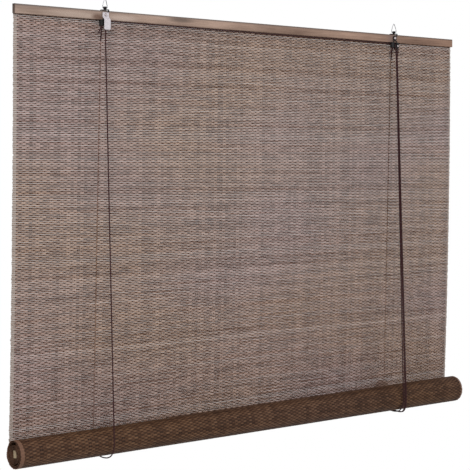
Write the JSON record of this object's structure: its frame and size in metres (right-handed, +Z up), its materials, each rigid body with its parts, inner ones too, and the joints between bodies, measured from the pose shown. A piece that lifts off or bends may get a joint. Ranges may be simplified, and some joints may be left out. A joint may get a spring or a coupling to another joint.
{
  "type": "bamboo roll-up blind",
  "caption": "Roll-up blind of woven bamboo sticks on a wooden head rail, half rolled up, with lift cords over small pulleys and wire loops to hang it by.",
  "frame": {"origin": "above the middle of the head rail, at the height where two hooks carry the wire loops, in the rail's middle plane", "axes": "+X along the rail to the right as seen from the front, +Y towards the wall behind, +Z up"},
  "size_m": [1.2049, 0.0825, 0.8942],
  "materials": {
    "rail_wood": "oiled softwood, grey-brown",
    "bamboo": "matt stained bamboo",
    "bamboo_back": "darker stained bamboo",
    "pale_wood": "bare softwood",
    "steel": "zinc plated",
    "steel_wire": "bright wire",
    "black_coating": "satin black",
    "black_plastic": "smooth black",
    "tag_paper": "smooth off-white",
    "cord": "braided, dark brown"
  },
  "bodies": {
    "root": {"head_rail": "rail_wood", "mat": "bamboo", "mat_staples": "steel", "hanger_yoke_left": "black_coating", "hanger_yoke_right": "black_coating", "yoke_screws": "steel", "pulley_block_left": "black_coating", "pulley_block_right": "black_coating", "axle_pin_left": "steel", "axle_pin_right": "steel", "paper_tag": "tag_paper", "left_cord_knot": "cord", "left_cord_back": "cord", "left_cord_front": "cord", "left_cord_run": "cord", "right_cord_knot": "cord", "right_cord_back": "cord", "right_cord_front": "cord", "right_cord_turn": "cord", "pull_strand_left": "cord", "pull_strand_right": "cord"},
    "left_loop": {"hanging_loop_left": "steel_wire"},
    "right_loop": {"hanging_loop_right": "steel_wire"},
    "left_sheave": {"sheave_left": "black_plastic"},
    "right_front_sheave": {"sheave_right_front": "black_plastic"},
    "right_rear_sheave": {"sheave_right_rear": "black_plastic"},
    "lift": {"left_cord_bight": "cord", "right_cord_bight": "cord", "pull_tail_left": "cord", "pull_tail_right": "cord", "pull_hank": "cord", "hank_tie": "cord"},
    "roll": {"mat_roll": "bamboo_back", "core_lath": "pale_wood", "core_staples": "steel"}
  },
  "joints": [
    {"name": "roll_lift", "type": "slide", "parent": "root", "child": "lift", "axis": [0, 0, 1], "range_m": [0, 0.73], "deforming": ["mat", "left_cord_front", "right_cord_front", "pull_strand_left", "pull_strand_right", "left_cord_back", "right_cord_back"]},
    {"name": "roll_turn", "type": "hinge", "parent": "lift", "child": "roll", "pos_m": [0, -0.006, -0.8595], "axis": [1, 0, 0], "range_deg": [-1470, 0]},
    {"name": "left_sheave_turn", "type": "hinge", "parent": "root", "child": "left_sheave", "pos_m": [-0.3947, -0.0078, -0.0507], "axis": [0, 1, 0], "continuous": true},
    {"name": "right_front_sheave_turn", "type": "hinge", "parent": "root", "child": "right_front_sheave", "pos_m": [0.4061, -0.0078, -0.0507], "axis": [0, 1, 0], "continuous": true},
    {"name": "right_rear_sheave_turn", "type": "hinge", "parent": "root", "child": "right_rear_sheave", "pos_m": [0.4061, -0.0036, -0.0507], "axis": [0, 1, 0], "continuous": true},
    {"name": "left_loop_swing", "type": "hinge", "parent": "root", "child": "left_loop", "pos_m": [-0.3965, 0, -0.01845], "axis": [1, 0, 0], "range_deg": [-70, 70]},
    {"name": "right_loop_swing", "type": "hinge", "parent": "root", "child": "right_loop", "pos_m": [0.4043, 0, -0.01845], "axis": [0.766, -0.6428, 0], "range_deg": [-70, 70]}
  ],
  "couplings": [
    {"joint": "roll_turn", "follows": "roll_lift", "rad_per_m": -34.904}
  ]
}
